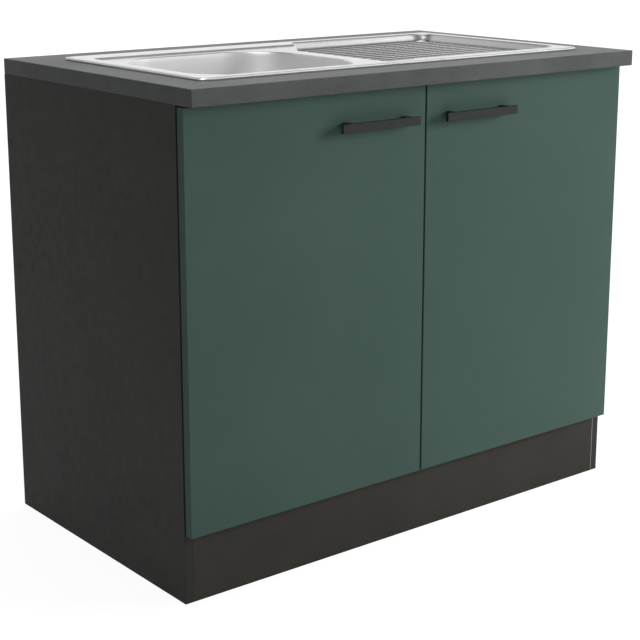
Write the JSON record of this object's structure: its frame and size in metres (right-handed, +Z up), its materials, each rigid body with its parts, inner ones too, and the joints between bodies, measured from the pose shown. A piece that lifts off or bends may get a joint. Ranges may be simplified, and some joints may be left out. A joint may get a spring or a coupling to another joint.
{
  "type": "kitchen sink unit",
  "caption": "Kitchen sink base unit: board carcass, overlay doors on concealed hinges, bar handles, laminated worktop and an inset steel sink with bowl, ribbed drainer and basket waste.",
  "frame": {"origin": "on the floor, under the middle of the unit's bounding box", "axes": "+X to the right along the front, +Y to the wall behind, +Z up"},
  "size_m": [1, 0.6, 0.855],
  "materials": {
    "carcass_board": "melamine-faced board in anthracite",
    "plinth_board": "melamine-faced board in anthracite",
    "worktop_laminate": "matt laminate with a grey concrete look",
    "door_lacquer": "supermatt petrol green",
    "handle_metal": "dark anthracite powder coat",
    "sink_steel": "pressed stainless steel, satin linen grain",
    "strainer_steel": "polished stainless steel",
    "hinge_steel": "nickel plated",
    "zinc_steel": "zinc plated",
    "seal_rubber": "black foam rubber",
    "waste_plastic": "white polypropylene",
    "bumper_soft": "clear soft plastic"
  },
  "bodies": {
    "cabinet": {"bottom_panel": "carcass_board", "plinth_panel": "plinth_board", "front_rail": "carcass_board", "rear_rail": "carcass_board", "lower_rear_rail": "carcass_board", "side_panel_left": "carcass_board", "side_panel_right": "carcass_board", "worktop": "worktop_laminate", "worktop_brackets": "zinc_steel", "sink": "sink_steel", "sink_seals": "seal_rubber", "sink_clips": "zinc_steel", "strainer_cup": "strainer_steel", "waste_housing": "waste_plastic", "hinge_plates_left": "hinge_steel", "hinge_plates_right": "hinge_steel", "hinge_arms_left": "hinge_steel", "hinge_arms_right": "hinge_steel"},
    "door_left": {"door_left": "door_lacquer", "handle_left": "handle_metal", "hinge_cups_left": "hinge_steel", "hinge_links_left": "hinge_steel", "door_bumpers_left": "bumper_soft"},
    "door_right": {"door_right": "door_lacquer", "handle_right": "handle_metal", "hinge_cups_right": "hinge_steel", "hinge_links_right": "hinge_steel", "door_bumpers_right": "bumper_soft"},
    "basket": {"basket_strainer": "strainer_steel", "basket_knob": "strainer_steel"}
  },
  "joints": [
    {"name": "door_left_hinge", "type": "hinge", "parent": "cabinet", "child": "door_left", "pos_m": [-0.49525, -0.269, 0.4695], "axis": [0, 0, -1], "range_deg": [0, 100]},
    {"name": "door_right_hinge", "type": "hinge", "parent": "cabinet", "child": "door_right", "pos_m": [0.49525, -0.269, 0.4695], "axis": [0, 0, 1], "range_deg": [0, 100]},
    {"name": "basket_lift", "type": "slide", "parent": "cabinet", "child": "basket", "axis": [0, 0, 1], "range_m": [0, 0.12]}
  ]
}
